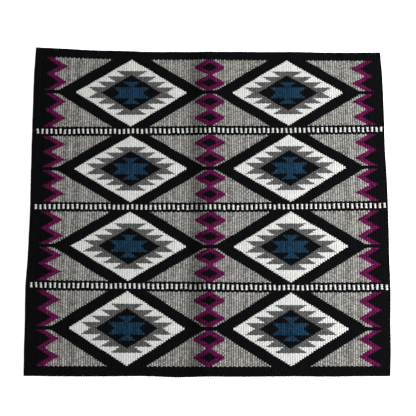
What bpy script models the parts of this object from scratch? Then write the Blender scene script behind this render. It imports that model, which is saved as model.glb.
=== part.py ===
"""A western saddle blanket: one thick sheet of weft-faced wool, laid out flat.

X runs across the ribs, Y runs along them and Z is up. The underside rests on
z = 0, and the origin is at the middle of the bounding box, on the underside.
Sizes are in metres.
"""
import math

import bmesh
import bpy

COLLECTION_NAME = "western_saddle_blanket"
OBJECT_NAME = "blanket"

# The cloth
THICKNESS = 0.0052  # from the underside to the crest of a rib
RIB_COUNT = 156  # one rib over each warp end
RIB_DEPTH = 0.0012  # from the crest of a rib down to the groove beside it
END_SCALLOP = 0.0010  # how far the grooves draw in at the two woven ends
SELVEDGE_DROP = 0.0016  # how far the two outer ribs round down at their edge

# A low ridge, left where the blanket was folded, runs along the ribs.
RIDGE_X = 0.002
RIDGE_HALF_WIDTH = 0.056
RIDGE_HEIGHT = 0.0042

# Hand weaving is uneven. Each row is one line across the cloth, from the far
# end to the near end: the x of its two edges, and its y at five places that
# are evenly spaced from the left edge to the right one.
LINES_ACROSS = (
    # left x, right x, y at 0, 1/4, 1/2, 3/4 and 1 of the width
    (-0.4596, 0.4570, (0.4337, 0.4247, 0.4239, 0.4232, 0.4225)),
    (-0.4610, 0.4610, (0.1999, 0.2015, 0.2047, 0.2064, 0.2098)),
    (-0.4592, 0.4628, (-0.0012, -0.0016, -0.0022, 0.0010, 0.0048)),
    (-0.4628, 0.4607, (-0.2048, -0.2068, -0.2090, -0.2101, -0.2086)),
    (-0.4578, 0.4538, (-0.4336, -0.4328, -0.4337, -0.4321, -0.4313)),
)

# Where a rib's own points lie, as a share of its width: the groove at its
# left and the two shoulders of its crest.
RIB_POINTS = (0.0, 0.3, 0.7)

WOOL_COLOUR = (0.16, 0.15, 0.15, 1.0)
WOOL_ROUGHNESS = 0.9


def clear_scene():
    """Remove every object of the open file."""
    for obj in list(bpy.data.objects):
        bpy.data.objects.remove(obj, do_unlink=True)


def along_stations(heights, share):
    """Read a smooth curve through evenly spaced heights, at a share of the width."""
    spans = len(heights) - 1
    place = min(max(share, 0.0), 1.0) * spans
    index = min(int(place), spans - 1)
    t = place - index
    start = heights[index]
    end = heights[index + 1]
    before = heights[index - 1] if index > 0 else 2.0 * start - end
    after = heights[index + 2] if index + 2 <= spans else 2.0 * end - start
    slope_start = 0.5 * (end - before)
    slope_end = 0.5 * (after - start)
    return (
        (2.0 * t**3 - 3.0 * t**2 + 1.0) * start
        + (t**3 - 2.0 * t**2 + t) * slope_start
        + (3.0 * t**2 - 2.0 * t**3) * end
        + (t**3 - t**2) * slope_end
    )


def ridge_rise(x):
    """Height of the old fold's ridge above the flat cloth at x."""
    offset = abs(x - RIDGE_X) / RIDGE_HALF_WIDTH
    if offset >= 1.0:
        return 0.0
    return RIDGE_HEIGHT * math.cos(0.5 * math.pi * offset) ** 2


def top_point(line, column):
    """Place one point of the ribbed top: line from the far end, column from the left."""
    left, right, heights = LINES_ACROSS[line]
    rib, point = divmod(column, len(RIB_POINTS))
    share = (rib + RIB_POINTS[point]) / RIB_COUNT
    in_groove = point == 0
    x = left + (right - left) * share
    y = along_stations(heights, share)
    if in_groove and line == 0:
        y -= END_SCALLOP
    if in_groove and line == len(LINES_ACROSS) - 1:
        y += END_SCALLOP
    at_selvedge = rib == RIB_COUNT or column == 0
    drop = SELVEDGE_DROP if at_selvedge else RIB_DEPTH if in_groove else 0.0
    return x, y, THICKNESS + ridge_rise(x) - drop


def build_blanket():
    """Shape a grid into the ribbed top, then carry it down to the flat underside."""
    columns = RIB_COUNT * len(RIB_POINTS)
    rows = len(LINES_ACROSS) - 1
    shape = bmesh.new()
    bmesh.ops.create_grid(shape, x_segments=columns, y_segments=rows, size=0.5)
    for vert in shape.verts:
        column = round((vert.co.x + 0.5) * columns)
        line = round((0.5 - vert.co.y) * rows)
        vert.co = top_point(line, column)

    carried = bmesh.ops.extrude_face_region(shape, geom=shape.faces[:])
    underside = [item for item in carried["geom"] if isinstance(item, bmesh.types.BMVert)]
    for vert in underside:
        vert.co.z = ridge_rise(vert.co.x)
    bmesh.ops.triangulate(shape, faces=shape.faces[:])
    bmesh.ops.recalc_face_normals(shape, faces=shape.faces[:])

    mesh = bpy.data.meshes.new(OBJECT_NAME)
    shape.to_mesh(mesh)
    shape.free()
    return bpy.data.objects.new(OBJECT_NAME, mesh)


def wool_material():
    """Plain dyed wool, the average of the blanket's colours."""
    material = bpy.data.materials.new("wool")
    material.use_nodes = True
    shader = material.node_tree.nodes["Principled BSDF"]
    shader.inputs["Base Color"].default_value = WOOL_COLOUR
    shader.inputs["Roughness"].default_value = WOOL_ROUGHNESS
    shader.inputs["Metallic"].default_value = 0.0
    return material


def main():
    """Build the blanket in a collection of its own."""
    clear_scene()
    collection = bpy.data.collections.new(COLLECTION_NAME)
    bpy.context.scene.collection.children.link(collection)
    blanket = build_blanket()
    blanket.data.materials.append(wool_material())
    collection.objects.link(blanket)


main()
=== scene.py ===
"""A western saddle blanket of thick weft-faced wool, laid out flat.

The blanket is one closed sheet. Its ribs, woven ends, selvedges and old fold
are in its mesh. The material works out the yarn of every stitch from a chart
that is written in ribs and stitches, and it adds the stitches' own relief.
Sizes are in metres, unless a name says ribs or stitches.
"""
import math

import bpy
from mathutils import Matrix, Vector, noise


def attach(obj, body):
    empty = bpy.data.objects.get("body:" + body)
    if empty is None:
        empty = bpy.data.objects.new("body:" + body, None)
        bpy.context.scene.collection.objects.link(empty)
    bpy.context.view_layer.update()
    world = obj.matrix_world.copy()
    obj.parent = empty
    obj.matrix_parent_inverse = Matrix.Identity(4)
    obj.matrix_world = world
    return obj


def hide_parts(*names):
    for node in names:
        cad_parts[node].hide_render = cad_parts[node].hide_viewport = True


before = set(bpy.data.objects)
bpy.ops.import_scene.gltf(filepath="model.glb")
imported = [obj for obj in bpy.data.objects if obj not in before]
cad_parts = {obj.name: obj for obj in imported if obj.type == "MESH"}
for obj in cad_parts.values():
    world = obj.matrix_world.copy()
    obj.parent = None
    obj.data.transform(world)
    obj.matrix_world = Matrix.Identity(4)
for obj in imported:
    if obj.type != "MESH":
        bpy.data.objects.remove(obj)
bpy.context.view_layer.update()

NAME = "saddle_blanket"
NODE = "blanket"
WEAVE_MAP = "Weave"
BAKE_MARGIN = 0.004
BAKE_TOP_SHARE = 0.66

# The cloth, as in its solid
THICKNESS = 0.0052
RIB_COUNT = 156
RIB_DEPTH = 0.0012
END_SCALLOP = 0.0010
RIDGE_X = 0.002
RIDGE_HALF_WIDTH = 0.056
RIDGE_HEIGHT = 0.0042
LINES_ACROSS = (
    # left x, right x, y at 0, 1/4, 1/2, 3/4 and 1 of the width
    (-0.4596, 0.4570, (0.4337, 0.4247, 0.4239, 0.4232, 0.4225)),
    (-0.4610, 0.4610, (0.1999, 0.2015, 0.2047, 0.2064, 0.2098)),
    (-0.4592, 0.4628, (-0.0012, -0.0016, -0.0022, 0.0010, 0.0048)),
    (-0.4628, 0.4607, (-0.2048, -0.2068, -0.2090, -0.2101, -0.2086)),
    (-0.4578, 0.4538, (-0.4336, -0.4328, -0.4337, -0.4321, -0.4313)),
)

# The chart, in stitches down the cloth from its far end
PANEL_HALF = 25.0
BAND_HALF = 3.5
END_BORDER = 6.5
PANEL_COUNT = 4
PANEL_PITCH = 2.0 * (PANEL_HALF + BAND_HALF)
FIRST_PANEL = END_BORDER + PANEL_HALF
STITCH_COUNT = 2.0 * FIRST_PANEL + (PANEL_COUNT - 1) * PANEL_PITCH
BAND_MIDDLES = [FIRST_PANEL + (band + 0.5) * PANEL_PITCH for band in range(PANEL_COUNT - 1)]
LINE_STITCHES = (0.0, *BAND_MIDDLES, STITCH_COUNT)  # where each of LINES_ACROSS lies
# How far a level edge steps up and down from rib to rib, and a tooth's edge
COMB, TOOTH_COMB = 0.45, 0.2

# The chart, in ribs from the middle rib, and in stitches from a panel's middle.
# A sum is the ribs and stitches added together, which makes a diamond.
MIDDLE_RIB = 78
DIAMOND_COLUMN = 35.0
DIAMOND_SUM = 24.9
FRAME_SUM = 33.6
CORE_SUM = 13.5
LINE_HALF = 1.3
TOOTH_PITCH = 4.1
RING_TEETH, RING_TIP, RING_FALL, RING_SLOPE = 4, 19.6, 4.2, 4.0
STAR_TEETH, STAR_TIP, STAR_FALL, STAR_SLOPE = 2, 8.2, 4.6, 3.0
ZIGZAG_HALF_PERIOD = 5.8
ZIGZAG_OUTER, ZIGZAG_OUTER_SWING = 73.4, 5.9
ZIGZAG_INNER, ZIGZAG_INNER_SWING = 70.0, 6.3
LOZENGE_HALF_HEIGHT = 6.0
LOZENGE_HALF_WIDTH = 6.7
LOZENGE_PEAK_WIDTH, LOZENGE_REACH = 7.4, 6.9
LOZENGE_LAP = 0.2  # how far the first lozenge reaches under a panel's middle line
HOLE_HALF_WIDTH, HOLE_HALF_HEIGHT = 3.7, 3.3
BEAD_HALF = 1.75
BEAD_HALF_WIDTH, BEAD_WAIST = 0.36, 0.07  # half width in the middle, and what the ends add
BEAD_LEAN, BEAD_LEAN_SHIFT = 0.07, 0.6
BEAD_STRAY = 0.6
BEAD_REDRAW = 7.0  # makes a second random number out of a bead's first
DRIFT, DRIFT_SCALE = 0.7, 0.09  # how far the figures drift sideways, and how fast


def srgb(red, green, blue):
    """Turn a colour read off a screen, 0 to 255, into the linear one that shaders use."""
    def linear(value):
        value /= 255.0
        return value / 12.92 if value <= 0.04045 else ((value + 0.055) / 1.055) ** 2.4
    return linear(red), linear(green), linear(blue), 1.0


YARNS = {
    # colour, how far single stitches stray in brightness, how much painted shade its rib grooves
    # get
    "black": (srgb(9, 10, 12), 0.30, 0.50),
    "grey": (srgb(161, 159, 154), 0.38, 0.97),
    "white": (srgb(219, 220, 216), 0.08, 0.22),
    "mid": (srgb(96, 96, 97), 0.24, 0.60),
    "blue": (srgb(26, 57, 81), 0.32, 0.60),
    "purple": (srgb(98, 19, 71), 0.36, 0.60),
}


def along_stations(heights, place):
    """Read a smooth curve through evenly spaced heights. place counts stations from 0."""
    spans = len(heights) - 1
    index = min(max(int(place), 0), spans - 1)
    t = place - index
    start = heights[index]
    end = heights[index + 1]
    before = heights[index - 1] if index > 0 else 2.0 * start - end
    after = heights[index + 2] if index + 2 <= spans else 2.0 * end - start
    slope_start = 0.5 * (end - before)
    slope_end = 0.5 * (after - start)
    return (
        (2.0 * t**3 - 3.0 * t**2 + 1.0) * start
        + (t**3 - 2.0 * t**2 + t) * slope_start
        + (3.0 * t**2 - 2.0 * t**3) * end
        + (t**3 - t**2) * slope_end
    )


def ridge_rise(x):
    """Height of the old fold's ridge above the flat cloth at x."""
    offset = abs(x - RIDGE_X) / RIDGE_HALF_WIDTH
    if offset >= 1.0:
        return 0.0
    return RIDGE_HEIGHT * math.cos(0.5 * math.pi * offset) ** 2


def cloth_place(ribs, stitches):
    """Lay the point at so many ribs and stitches into the cloth on the floor plan."""
    line = 0
    while line < len(LINE_STITCHES) - 2 and stitches > LINE_STITCHES[line + 1]:
        line += 1
    span = LINE_STITCHES[line + 1] - LINE_STITCHES[line]
    part = (stitches - LINE_STITCHES[line]) / span
    lefts = [row[0] for row in LINES_ACROSS]
    rights = [row[1] for row in LINES_ACROSS]
    left = along_stations(lefts, line + part)
    right = along_stations(rights, line + part)
    share = ribs / RIB_COUNT
    station = share * (len(LINES_ACROSS[0][2]) - 1)
    y_far = along_stations(LINES_ACROSS[line][2], station)
    y_near = along_stations(LINES_ACROSS[line + 1][2], station)
    return left + (right - left) * share, y_far + (y_near - y_far) * part


# The wool's shading, with painted shade in the rib grooves, in the gaps between stitches and on
# the old fold's left flank
INTERLOCK = 0.13  # in ribs
# Painted shade in the gaps between stitches, and the power that sets how far it reaches
GAP_PAINTED_SHADE, GAP_SHAPE = 0.35, 0.5
STITCH_RELIEF, RELIEF_STRENGTH = 0.0007, 0.8
RIB_RELIEF_SHAPE, STITCH_RELIEF_SHAPE = 0.5, 0.6  # powers, lower for a flatter top
FIBRE_RELIEF = 0.30  # as a share of the stitches' relief
FIBRE_STRAY, RIB_STRAY = 1.2, 0.5  # as shares of a yarn's stray
FOLD_FROM, FOLD_TO = 67.0, 78.5  # in ribs from the left edge
# Painted shade on the fold's left flank: its strength and the power of its hump, then how it
# varies in patches
FOLD_PAINTED_SHADE, FOLD_SHAPE = 0.50, 1.3
FOLD_PATCHES, FOLD_PATCH_DEPTH = 0.05, 0.6
# How fast the fibres' noise changes along a fibre and across it
ALONG_BY_RIB, ALONG_BY_STITCH = 1.2, 0.8
ACROSS_BY_RIB, ACROSS_BY_STITCH = 1.8, 6.0
FIBRE_DETAIL, NOISE_ROUGHNESS = 4.0, 0.65
WOOL_ROUGHNESS, ROUGHNESS_STRAY = 0.92, 0.05
SPECULAR = 0.05
SHEEN, SHEEN_ROUGHNESS = 0.015, 0.5

# The sheet's mesh
RIB_POINTS = (0.0, 0.25, 0.5, 0.75)
RIB_ROUNDNESS = 0.6
ROW_COUNT = 74
END_ROWS = (0.0, 0.18, 0.55)  # the first rows at a woven end, in stitches
FIRST_EVEN_ROW = 1.0
EDGE_RADIUS = 0.0026
EDGE_RIBS, EDGE_STITCHES = 3.0, 3.0  # how far in the edges' own unevenness reaches
RIB_WIDTH, STITCH_LENGTH = 0.0059, 0.0037  # rounded, for the distance to an edge

# How far the weaving strays from even
RIB_WANDER = 0.0004
CREST_WANDER = 0.00018
SWELL, SWELL_LIFT = 0.0005, 0.5
END_UNEVEN = 0.0004
SELVEDGE_UNEVEN = 0.0004

# How fast each of these changes across the ribs and along them, and its own seed.
# Across counts ribs, but metres in the swell. Along counts metres, but ends at the ends.
RIB_PACE = (0.35, 9.0, 1.5)
CREST_PACE = (0.9, 30.0, 11.5)
SWELL_PACE = (5.0, 5.0, 20.5)
END_PACE = (0.83, 1.0, 3.5)
SELVEDGE_PACE = (0.2, 45.0, 7.5)

# How far each edge bulges past the solid's straighter line, at evenly spaced
# places: down the selvedges from the far end, and along the ends from the left.
# They were read off the photograph's outline, against a render without them.
BULGES = {
    "left": (
        0.0008, 0.0025, 0.0018, 0.0011, 0.0010, 0.0013, 0.0003,
        -0.0003, -0.0010, 0.0010, 0.0003, 0.0015, 0.0018,
    ),
    "right": (
        0.0010, 0.0028, 0.0024, 0.0009, -0.0003, 0.0010, 0.0010,
        0.0008, 0.0005, 0.0018, 0.0010, 0.0015, 0.0005,
    ),
    "far": (
        0.0018, 0.0018, 0.0009, 0.0018, 0.0003, 0.0005, 0.0000,
        0.0018, 0.0016, 0.0024, 0.0013, 0.0014, 0.0024,
    ),
    "near": (
        0.0003, 0.0015, 0.0020, 0.0017, 0.0010, 0.0032, 0.0013,
        0.0018, 0.0018, 0.0018, 0.0026, 0.0018, 0.0016,
    ),
}
BULGE_RIBS = 5.0  # how far in from the edges the bulges fade out
BULGE_STITCHES = 6.0


def row_places():
    """Rows down the cloth, in stitches, close together at the two woven ends."""
    inner = ROW_COUNT - 2 * len(END_ROWS)
    step = (STITCH_COUNT - 2.0 * FIRST_EVEN_ROW) / inner
    middle = [FIRST_EVEN_ROW + step * index for index in range(inner + 1)]
    return list(END_ROWS) + middle + [STITCH_COUNT - place for place in reversed(END_ROWS)]


def rib_profile(share):
    """Height of a rib's section, from 0 in the groove to 1 on the crest."""
    return abs(math.sin(math.pi * share)) ** RIB_ROUNDNESS


def rounding(distance):
    """How full the sheet's thickness is near an edge, from 0 to 1."""
    if distance >= EDGE_RADIUS:
        return 1.0
    return math.sqrt(1.0 - (1.0 - distance / EDGE_RADIUS) ** 2)


def bulge(edge, share):
    """How far an edge bulges, at a share of its length."""
    heights = BULGES[edge]
    return along_stations(heights, share * (len(heights) - 1))


def bulged(x, y, ribs, stitches):
    """Carry a point near an edge along with the edge's bulge."""
    from_side = min(ribs, RIB_COUNT - ribs)
    from_end = min(stitches, STITCH_COUNT - stitches)
    to_side = max(0.0, 1.0 - from_side / BULGE_RIBS) ** 2
    to_end = max(0.0, 1.0 - from_end / BULGE_STITCHES) ** 2
    if ribs < 0.5 * RIB_COUNT:
        x -= to_side * bulge("left", stitches / STITCH_COUNT)
    else:
        x += to_side * bulge("right", stitches / STITCH_COUNT)
    if stitches < 0.5 * STITCH_COUNT:
        y += to_end * bulge("far", ribs / RIB_COUNT)
    else:
        y -= to_end * bulge("near", ribs / RIB_COUNT)
    return x, y


def uneven(pace, across, along, layer=0.0):
    """A smooth random number from -1 to 1 at a place, drawn at one of the paces above."""
    across_pace, along_pace, seed = pace
    return noise.noise(Vector((across * across_pace, along * along_pace, seed + layer)))


def cloth_point(ribs, stitches, side):
    """One point of the sheet. side is 1 on the top, -1 on the underside."""
    x, y = cloth_place(ribs, stitches)
    high = rib_profile(ribs - math.floor(ribs))
    from_side = min(ribs, RIB_COUNT - ribs)
    from_end = min(stitches, STITCH_COUNT - stitches)

    inside = min(1.0, from_side / EDGE_RIBS)
    x += inside * RIB_WANDER * uneven(RIB_PACE, ribs, y)
    x, y = bulged(x, y, ribs, stitches)
    x += SELVEDGE_UNEVEN * (1.0 - inside) * uneven(SELVEDGE_PACE, ribs, y)

    outward = 1.0 if stitches < 0.5 * STITCH_COUNT else -1.0
    near_end = max(0.0, 1.0 - from_end / EDGE_STITCHES)
    reach = END_UNEVEN * uneven(END_PACE, math.floor(ribs + 0.5), outward)
    y += outward * near_end * (reach - END_SCALLOP * (1.0 - high))

    half = 0.5 * THICKNESS - RIB_DEPTH * (1.0 - high)
    half += CREST_WANDER * high * uneven(CREST_PACE, ribs, y, side)
    half *= rounding(min(from_side * RIB_WIDTH, from_end * STITCH_LENGTH))
    swell = SWELL * (SWELL_LIFT + uneven(SWELL_PACE, x, y))
    middle = 0.5 * THICKNESS + ridge_rise(x) + max(swell, 0.0)
    return x, y, max(middle + side * half, 0.0)


def build_blanket():
    """Make the closed sheet, with the chart's map and the map for a baked picture."""
    places = row_places()
    points = len(RIB_POINTS)
    columns = RIB_COUNT * points
    ribs_at = [index // points + RIB_POINTS[index % points] for index in range(columns + 1)]
    verts = []
    number = {}
    for side in (1, -1):
        for row, stitches in enumerate(places):
            for column, ribs in enumerate(ribs_at):
                on_rim = row in (0, len(places) - 1) or column in (0, columns)
                if side < 0 and on_rim:
                    number[side, row, column] = number[1, row, column]
                    continue
                number[side, row, column] = len(verts)
                verts.append(cloth_point(ribs, stitches, side))
    faces = []
    corners = []
    for side in (1, -1):
        for row in range(len(places) - 1):
            for column in range(columns):
                loop = [(row, column), (row + 1, column), (row + 1, column + 1), (row, column + 1)]
                if side < 0:
                    loop.reverse()
                faces.append([number[side, r, c] for r, c in loop])
                corners.extend((side, r, c) for r, c in loop)
    mesh = bpy.data.meshes.new(NAME)
    mesh.from_pydata(verts, [], faces)
    weave = mesh.uv_layers.new(name=WEAVE_MAP)
    bake = mesh.uv_layers.new(name="OFBake")
    for index, (side, row, column) in enumerate(corners):
        across = ribs_at[column] / RIB_COUNT
        down = places[row] / STITCH_COUNT
        weave.data[index].uv = (across, down)
        bake.data[index].uv = bake_place(across, down, side)
    mesh.shade_smooth()
    mesh.update()
    blanket = bpy.data.objects.new(NAME, mesh)
    bpy.context.scene.collection.objects.link(blanket)
    return blanket


def bake_place(across, down, side):
    """Lay the top over two thirds of the baked picture, and the underside over the rest."""
    width = 1.0 - 2.0 * BAKE_MARGIN
    if side > 0:
        low, high = 1.0 - BAKE_TOP_SHARE + BAKE_MARGIN, 1.0 - BAKE_MARGIN
        return BAKE_MARGIN + width * across, high - (high - low) * down
    low, high = BAKE_MARGIN, 1.0 - BAKE_TOP_SHARE - BAKE_MARGIN
    return BAKE_MARGIN + width * (1.0 - across), high - (high - low) * down


class Wire:
    """A number that runs through a shader's tree. Sums on wires make Math nodes."""

    def __init__(self, tree, socket):
        self.tree = tree
        self.socket = socket

    def node(self, operation, *others):
        made = self.tree.nodes.new("ShaderNodeMath")
        made.operation = operation
        for slot_index, value in enumerate((self, *others)):
            if isinstance(value, Wire):
                self.tree.links.new(value.socket, made.inputs[slot_index])
            else:
                made.inputs[slot_index].default_value = value
        return Wire(self.tree, made.outputs[0])

    def __add__(self, other):
        return self.node("ADD", other)

    def __sub__(self, other):
        return self.node("SUBTRACT", other)

    def __mul__(self, other):
        return self.node("MULTIPLY", other)

    def __truediv__(self, other):
        return self.node("DIVIDE", other)

    def __lt__(self, other):
        return self.node("LESS_THAN", other)

    def __gt__(self, other):
        return self.node("GREATER_THAN", other)

    def floor(self):
        return self.node("FLOOR")

    def fraction(self):
        return self.node("FRACT")

    def size(self):
        return self.node("ABSOLUTE")

    def swing(self, reach):
        """A zigzag that is 0 at 0 and reach at reach on either side."""
        return self.node("PINGPONG", reach)

    def both(self, other):
        return self.node("MULTIPLY", other)

    def either(self, other):
        return self.node("MAXIMUM", other)

    def at_least(self, other):
        return self.node("MAXIMUM", other)

    def at_most(self, other):
        return self.node("MINIMUM", other)

    def power(self, other):
        return self.node("POWER", other)

    def wave(self, frequency):
        """A cosine that is 1 at 0 and goes around so many times in each step of 1."""
        return (self * (2.0 * math.pi * frequency)).node("COSINE")

    def hump(self):
        """A smooth hump over 0 to 1: 0 at both ends and 1 in the middle."""
        return (self * math.pi).node("SINE")

    def rest(self):
        """What is left of 1."""
        return self * -1.0 + 1.0

    def steady(self, value):
        """A wire that holds the same number everywhere."""
        return self * 0.0 + value


def serrated(from_panel, teeth, tip, fall, slope):
    """Half width, in ribs, of a stepped shape whose teeth have level outer edges."""
    place = from_panel / TOOTH_PITCH
    width = place.floor() * -fall + place.fraction() * slope + (tip - slope)
    return width * (from_panel < teeth * TOOTH_PITCH)


def bead_mask(tree, ribs, stitches):
    """The white beads of the bands. Every other rib has one, and each is a little odd."""
    bead_number = ((ribs + 0.5) * 0.5).floor()
    down = (stitches - FIRST_PANEL) / PANEL_PITCH
    from_band = (down.fraction() - 0.5) * PANEL_PITCH
    chance = white_noise(tree, bead_number, down.floor())
    tilt = (chance * 2.0 - BEAD_LEAN_SHIFT) * BEAD_LEAN
    from_bead = (ribs - bead_number * 2.0 - 0.5 - from_band * tilt).size()
    shift = (chance * BEAD_REDRAW).fraction() - 0.5
    half_height = (from_band + shift * BEAD_STRAY).size()
    half_width = half_height.at_most(1.0) * BEAD_WAIST + BEAD_HALF_WIDTH
    in_bead = (from_bead < half_width).both(half_height < BEAD_HALF)
    return in_bead.both(bead_number > 0.5)


def chart_masks(tree, ribs, stitches):
    """Where each figure of the chart lies, in the order in which they cover each other."""
    rib = ribs.floor()
    combed = stitches + (rib.node("FLOORED_MODULO", 2.0) - 0.5) * COMB
    drift = smooth_noise(tree, ribs * DRIFT_SCALE, stitches * DRIFT_SCALE, 1.0) * DRIFT
    from_middle = (rib - MIDDLE_RIB + drift).size()
    from_panel = (stitches - FIRST_PANEL).swing(0.5 * PANEL_PITCH)
    level = (combed - FIRST_PANEL).swing(0.5 * PANEL_PITCH)
    tooth_level = from_panel + (level - from_panel) * (TOOTH_COMB / COMB)
    from_column = (from_middle - DIAMOND_COLUMN).size()
    spread = from_column + from_panel
    off_line = from_panel > LINE_HALF

    turn = (from_panel - LINE_HALF).swing(ZIGZAG_HALF_PERIOD) / ZIGZAG_HALF_PERIOD
    past_outer = from_middle > (turn * -ZIGZAG_OUTER_SWING + ZIGZAG_OUTER)
    past_inner = from_middle > (turn * -ZIGZAG_INNER_SWING + ZIGZAG_INNER)

    lozenge_place = LINE_HALF - LOZENGE_LAP + LOZENGE_HALF_HEIGHT
    from_lozenge = (from_panel - lozenge_place).swing(LOZENGE_HALF_HEIGHT)
    lozenge_width = (from_lozenge / -LOZENGE_REACH + 1.0) * LOZENGE_PEAK_WIDTH
    lozenge = (from_middle < lozenge_width.at_most(LOZENGE_HALF_WIDTH)).both(off_line)
    hole = (from_middle / HOLE_HALF_WIDTH + from_lozenge / HOLE_HALF_HEIGHT) < 1.0

    ring = serrated(tooth_level, RING_TEETH, RING_TIP, RING_FALL, RING_SLOPE)
    star = serrated(tooth_level, STAR_TEETH, STAR_TIP, STAR_FALL, STAR_SLOPE)
    end_border = (combed < END_BORDER).either(combed > STITCH_COUNT - END_BORDER)
    return (
        ("purple", past_inner.both(off_line)),
        ("black", past_outer),
        ("black", (spread < FRAME_SUM).either(off_line < 0.5)),
        ("purple", lozenge),
        ("black", hole),
        ("white", spread < DIAMOND_SUM),
        ("mid", from_column < ring),
        ("black", spread < CORE_SUM),
        ("blue", from_column < star),
        ("black", level > PANEL_HALF),
        ("white", bead_mask(tree, ribs, stitches)),
        ("black", end_border),
    )


def white_noise(tree, first, second):
    """A number from 0 to 1 drawn from a pair of whole numbers."""
    place = tree.nodes.new("ShaderNodeCombineXYZ")
    tree.links.new(first.socket, place.inputs[0])
    tree.links.new(second.socket, place.inputs[1])
    drawn = tree.nodes.new("ShaderNodeTexWhiteNoise")
    drawn.noise_dimensions = "2D"
    tree.links.new(place.outputs[0], drawn.inputs["Vector"])
    return Wire(tree, drawn.outputs["Value"])


def smooth_noise(tree, first, second, detail):
    """A number from -1 to 1 that changes smoothly over a pair of numbers."""
    place = tree.nodes.new("ShaderNodeCombineXYZ")
    tree.links.new(first.socket, place.inputs[0])
    tree.links.new(second.socket, place.inputs[1])
    texture = tree.nodes.new("ShaderNodeTexNoise")
    texture.inputs["Scale"].default_value = 1.0
    texture.inputs["Detail"].default_value = detail
    texture.inputs["Roughness"].default_value = NOISE_ROUGHNESS
    tree.links.new(place.outputs[0], texture.inputs["Vector"])
    return Wire(tree, texture.outputs[0]) * 2.0 - 1.0


def mix_colour(tree, factor, first, second, blend="MIX"):
    """Mix two colours. Each is a colour or a socket, and factor a number or a wire."""
    node = tree.nodes.new("ShaderNodeMix")
    node.data_type = "RGBA"
    node.blend_type = blend
    inputs = [node.inputs["Factor"]] + [item for item in node.inputs if item.type == "RGBA"]
    for socket, value in zip(inputs, (factor, first, second)):
        if isinstance(value, Wire):
            tree.links.new(value.socket, socket)
        elif isinstance(value, bpy.types.NodeSocket):
            tree.links.new(value, socket)
        else:
            socket.default_value = value
    return next(item for item in node.outputs if item.type == "RGBA")


def wool_material():
    """Weft-faced wool: the chart's yarns, heathered, with rounded stitches and fibres."""
    material = bpy.data.materials.new("wool_weave")
    material.use_nodes = True
    tree = material.node_tree
    shader = tree.nodes["Principled BSDF"]
    links = tree.links

    uv = tree.nodes.new("ShaderNodeUVMap")
    uv.uv_map = WEAVE_MAP
    split = tree.nodes.new("ShaderNodeSeparateXYZ")
    links.new(uv.outputs["UV"], split.inputs[0])
    even_ribs = Wire(tree, split.outputs[0]) * RIB_COUNT
    stitches = Wire(tree, split.outputs[1]) * STITCH_COUNT

    # Stitches on neighbouring ribs lie half a stitch apart, and their ends interlock.
    ribs = even_ribs - even_ribs.wave(0.5) * stitches.wave(1.0) * INTERLOCK
    rib = ribs.floor()
    shifted = stitches + rib.node("FLOORED_MODULO", 2.0) * 0.5

    # The ground is grey, and each figure covers what comes before it.
    colour, ground_stray, ground_groove_shade = YARNS["grey"]
    stray = ribs.steady(ground_stray)
    # groove is how much painted shade the rib grooves get, from the yarn on top
    groove = ribs.steady(ground_groove_shade)
    for yarn, mask in chart_masks(tree, ribs, stitches):
        yarn_colour, yarn_stray, yarn_groove_shade = YARNS[yarn]
        colour = mix_colour(tree, mask, colour, yarn_colour)
        stray = stray + mask * (stray * -1.0 + yarn_stray)
        groove = groove + mask * (groove * -1.0 + yarn_groove_shade)

    # Each stitch and each rib has its own brightness.
    stitch_light = white_noise(tree, rib, shifted.floor()) * 2.0 - 1.0
    rib_light = white_noise(tree, rib, rib) * 2.0 - 1.0

    # The yarn is twisted, so its fibres run across the ribs at a slant.
    along_fibre = ribs * ALONG_BY_RIB + shifted * ALONG_BY_STITCH
    across_fibre = shifted * ACROSS_BY_STITCH - ribs * ACROSS_BY_RIB
    fibre = smooth_noise(tree, along_fibre, across_fibre, FIBRE_DETAIL)

    # Painted shade on the old fold's left flank, which faces away from the key light, uneven in
    # patches.
    fold_share = ((ribs - FOLD_FROM) / (FOLD_TO - FOLD_FROM)).at_least(0.0).at_most(1.0)
    patches = smooth_noise(tree, stitches * FOLD_PATCHES, ribs.steady(0.0), 1.0)
    fold_painted_shade = fold_share.hump().power(FOLD_SHAPE) * (patches * FOLD_PATCH_DEPTH + 1.0) * FOLD_PAINTED_SHADE

    # Painted shade darkens the grooves between ribs and the gaps between stitches.
    across_rib = ribs.fraction().hump()
    along_stitch = shifted.fraction().hump()
    depth = across_rib.rest()
    gap_shade = along_stitch.power(GAP_SHAPE).rest() * GAP_PAINTED_SHADE
    light = (stitch_light + fibre * FIBRE_STRAY + rib_light * RIB_STRAY) * stray + 1.0
    light = light * (depth * groove).rest() * gap_shade.rest() * fold_painted_shade.rest()
    shade = tree.nodes.new("ShaderNodeCombineXYZ")
    for socket in shade.inputs:
        links.new(light.socket, socket)
    wool = mix_colour(tree, 1.0, colour, shade.outputs[0], "MULTIPLY")
    links.new(wool, shader.inputs["Base Color"])

    stitch_height = across_rib.power(RIB_RELIEF_SHAPE) * along_stitch.power(STITCH_RELIEF_SHAPE)
    height = stitch_height + fibre * FIBRE_RELIEF
    bump = tree.nodes.new("ShaderNodeBump")
    bump.inputs["Strength"].default_value = RELIEF_STRENGTH
    bump.inputs["Distance"].default_value = STITCH_RELIEF
    links.new(height.socket, bump.inputs["Height"])
    links.new(bump.outputs[0], shader.inputs["Normal"])

    roughness = fibre * ROUGHNESS_STRAY + WOOL_ROUGHNESS
    links.new(roughness.socket, shader.inputs["Roughness"])
    shader.inputs["Specular IOR Level"].default_value = SPECULAR
    shader.inputs["Sheen Weight"].default_value = SHEEN
    shader.inputs["Sheen Roughness"].default_value = SHEEN_ROUGHNESS
    return material


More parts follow.
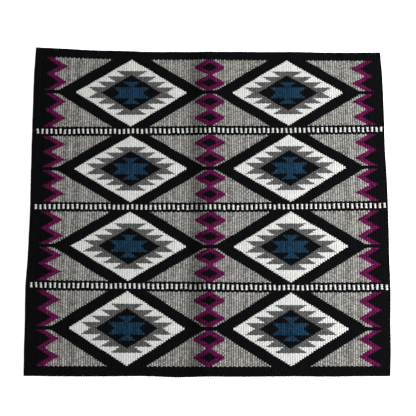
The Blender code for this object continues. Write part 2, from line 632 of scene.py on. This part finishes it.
# The studio
CAMERA_TILT = math.radians(13.16)  # from straight down
CAMERA_YAW = math.radians(-0.48)
CAMERA_ROLL = math.radians(0.06)
CAMERA_DISTANCE = 2.838
CAMERA_TARGET = Vector((-0.0013, -0.0027, 0.0))
CAMERA_LENS = 95.2
CAMERA_SENSOR = 36.0
WHITE = (1.0, 1.0, 1.0, 1.0)
FLOOR_SIZE = 40.0
FLOOR_DROP = 0.0003  # keeps the floor clear of the blanket's underside
FLOOR_COLOUR = (0.92, 0.92, 0.92, 1.0)
FLOOR_ROUGHNESS, FLOOR_GLOW = 0.9, 0.9
SKY_STRENGTH = 0.19
LIGHTS = (
    # name, place, the point that it faces, length of a side, watts
    ("key", (2.1, 0.0, 1.6), (0.1, 0.0, 0.0), 1.2, 112.0),
    ("fill", (-1.6, -0.3, 2.6), (0.0, 0.0, 0.0), 2.0, 9.0),
)


def add_camera():
    """Look down on the blanket from the photograph's place."""
    camera_data = bpy.data.cameras.new("camera")
    camera_data.lens = CAMERA_LENS
    camera_data.sensor_width = CAMERA_SENSOR
    camera = bpy.data.objects.new("camera", camera_data)
    back = Vector((
        math.sin(CAMERA_YAW),
        -math.sin(CAMERA_TILT) * math.cos(CAMERA_YAW),
        math.cos(CAMERA_TILT) * math.cos(CAMERA_YAW),
    ))
    back.normalize()
    right = Vector((0.0, 1.0, 0.0)).cross(back).normalized()
    up = back.cross(right)
    turned = right * math.cos(CAMERA_ROLL) + up * math.sin(CAMERA_ROLL)
    upright = up * math.cos(CAMERA_ROLL) - right * math.sin(CAMERA_ROLL)
    place = CAMERA_TARGET + back * CAMERA_DISTANCE
    camera.matrix_world = Matrix((
        (turned.x, upright.x, back.x, place.x),
        (turned.y, upright.y, back.y, place.y),
        (turned.z, upright.z, back.z, place.z),
        (0.0, 0.0, 0.0, 1.0),
    ))
    bpy.context.scene.collection.objects.link(camera)
    bpy.context.scene.camera = camera


def add_light(name, place, target, size, watts):
    """A square soft light that faces a point on the blanket."""
    light_data = bpy.data.lights.new(name, "AREA")
    light_data.shape = "SQUARE"
    light_data.size = size
    light_data.energy = watts
    light = bpy.data.objects.new(name, light_data)
    light.location = place
    aim = Vector(target) - Vector(place)
    light.rotation_euler = aim.to_track_quat("-Z", "Y").to_euler()
    bpy.context.scene.collection.objects.link(light)


def add_floor():
    """The plain pale floor."""
    bpy.ops.mesh.primitive_plane_add(size=FLOOR_SIZE, location=(0.0, 0.0, -FLOOR_DROP))
    floor = bpy.context.object
    floor.name = "floor"
    material = bpy.data.materials.new("floor")
    material.use_nodes = True
    shader = material.node_tree.nodes["Principled BSDF"]
    shader.inputs["Base Color"].default_value = FLOOR_COLOUR
    shader.inputs["Roughness"].default_value = FLOOR_ROUGHNESS
    shader.inputs["Emission Color"].default_value = WHITE
    shader.inputs["Emission Strength"].default_value = FLOOR_GLOW
    floor.data.materials.append(material)


def add_studio():
    """Soft light, stronger from the right, as in the photograph."""
    world = bpy.data.worlds.new("studio")
    world.use_nodes = True
    background = world.node_tree.nodes["Background"]
    background.inputs["Color"].default_value = WHITE
    background.inputs["Strength"].default_value = SKY_STRENGTH
    bpy.context.scene.world = world
    bpy.context.scene.view_settings.view_transform = "Standard"
    for name, place, target, size, watts in LIGHTS:
        add_light(name, place, target, size, watts)


add_camera()
blanket = build_blanket()
blanket.data.materials.append(wool_material())
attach(blanket, "root")
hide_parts(NODE)
add_floor()
add_studio()
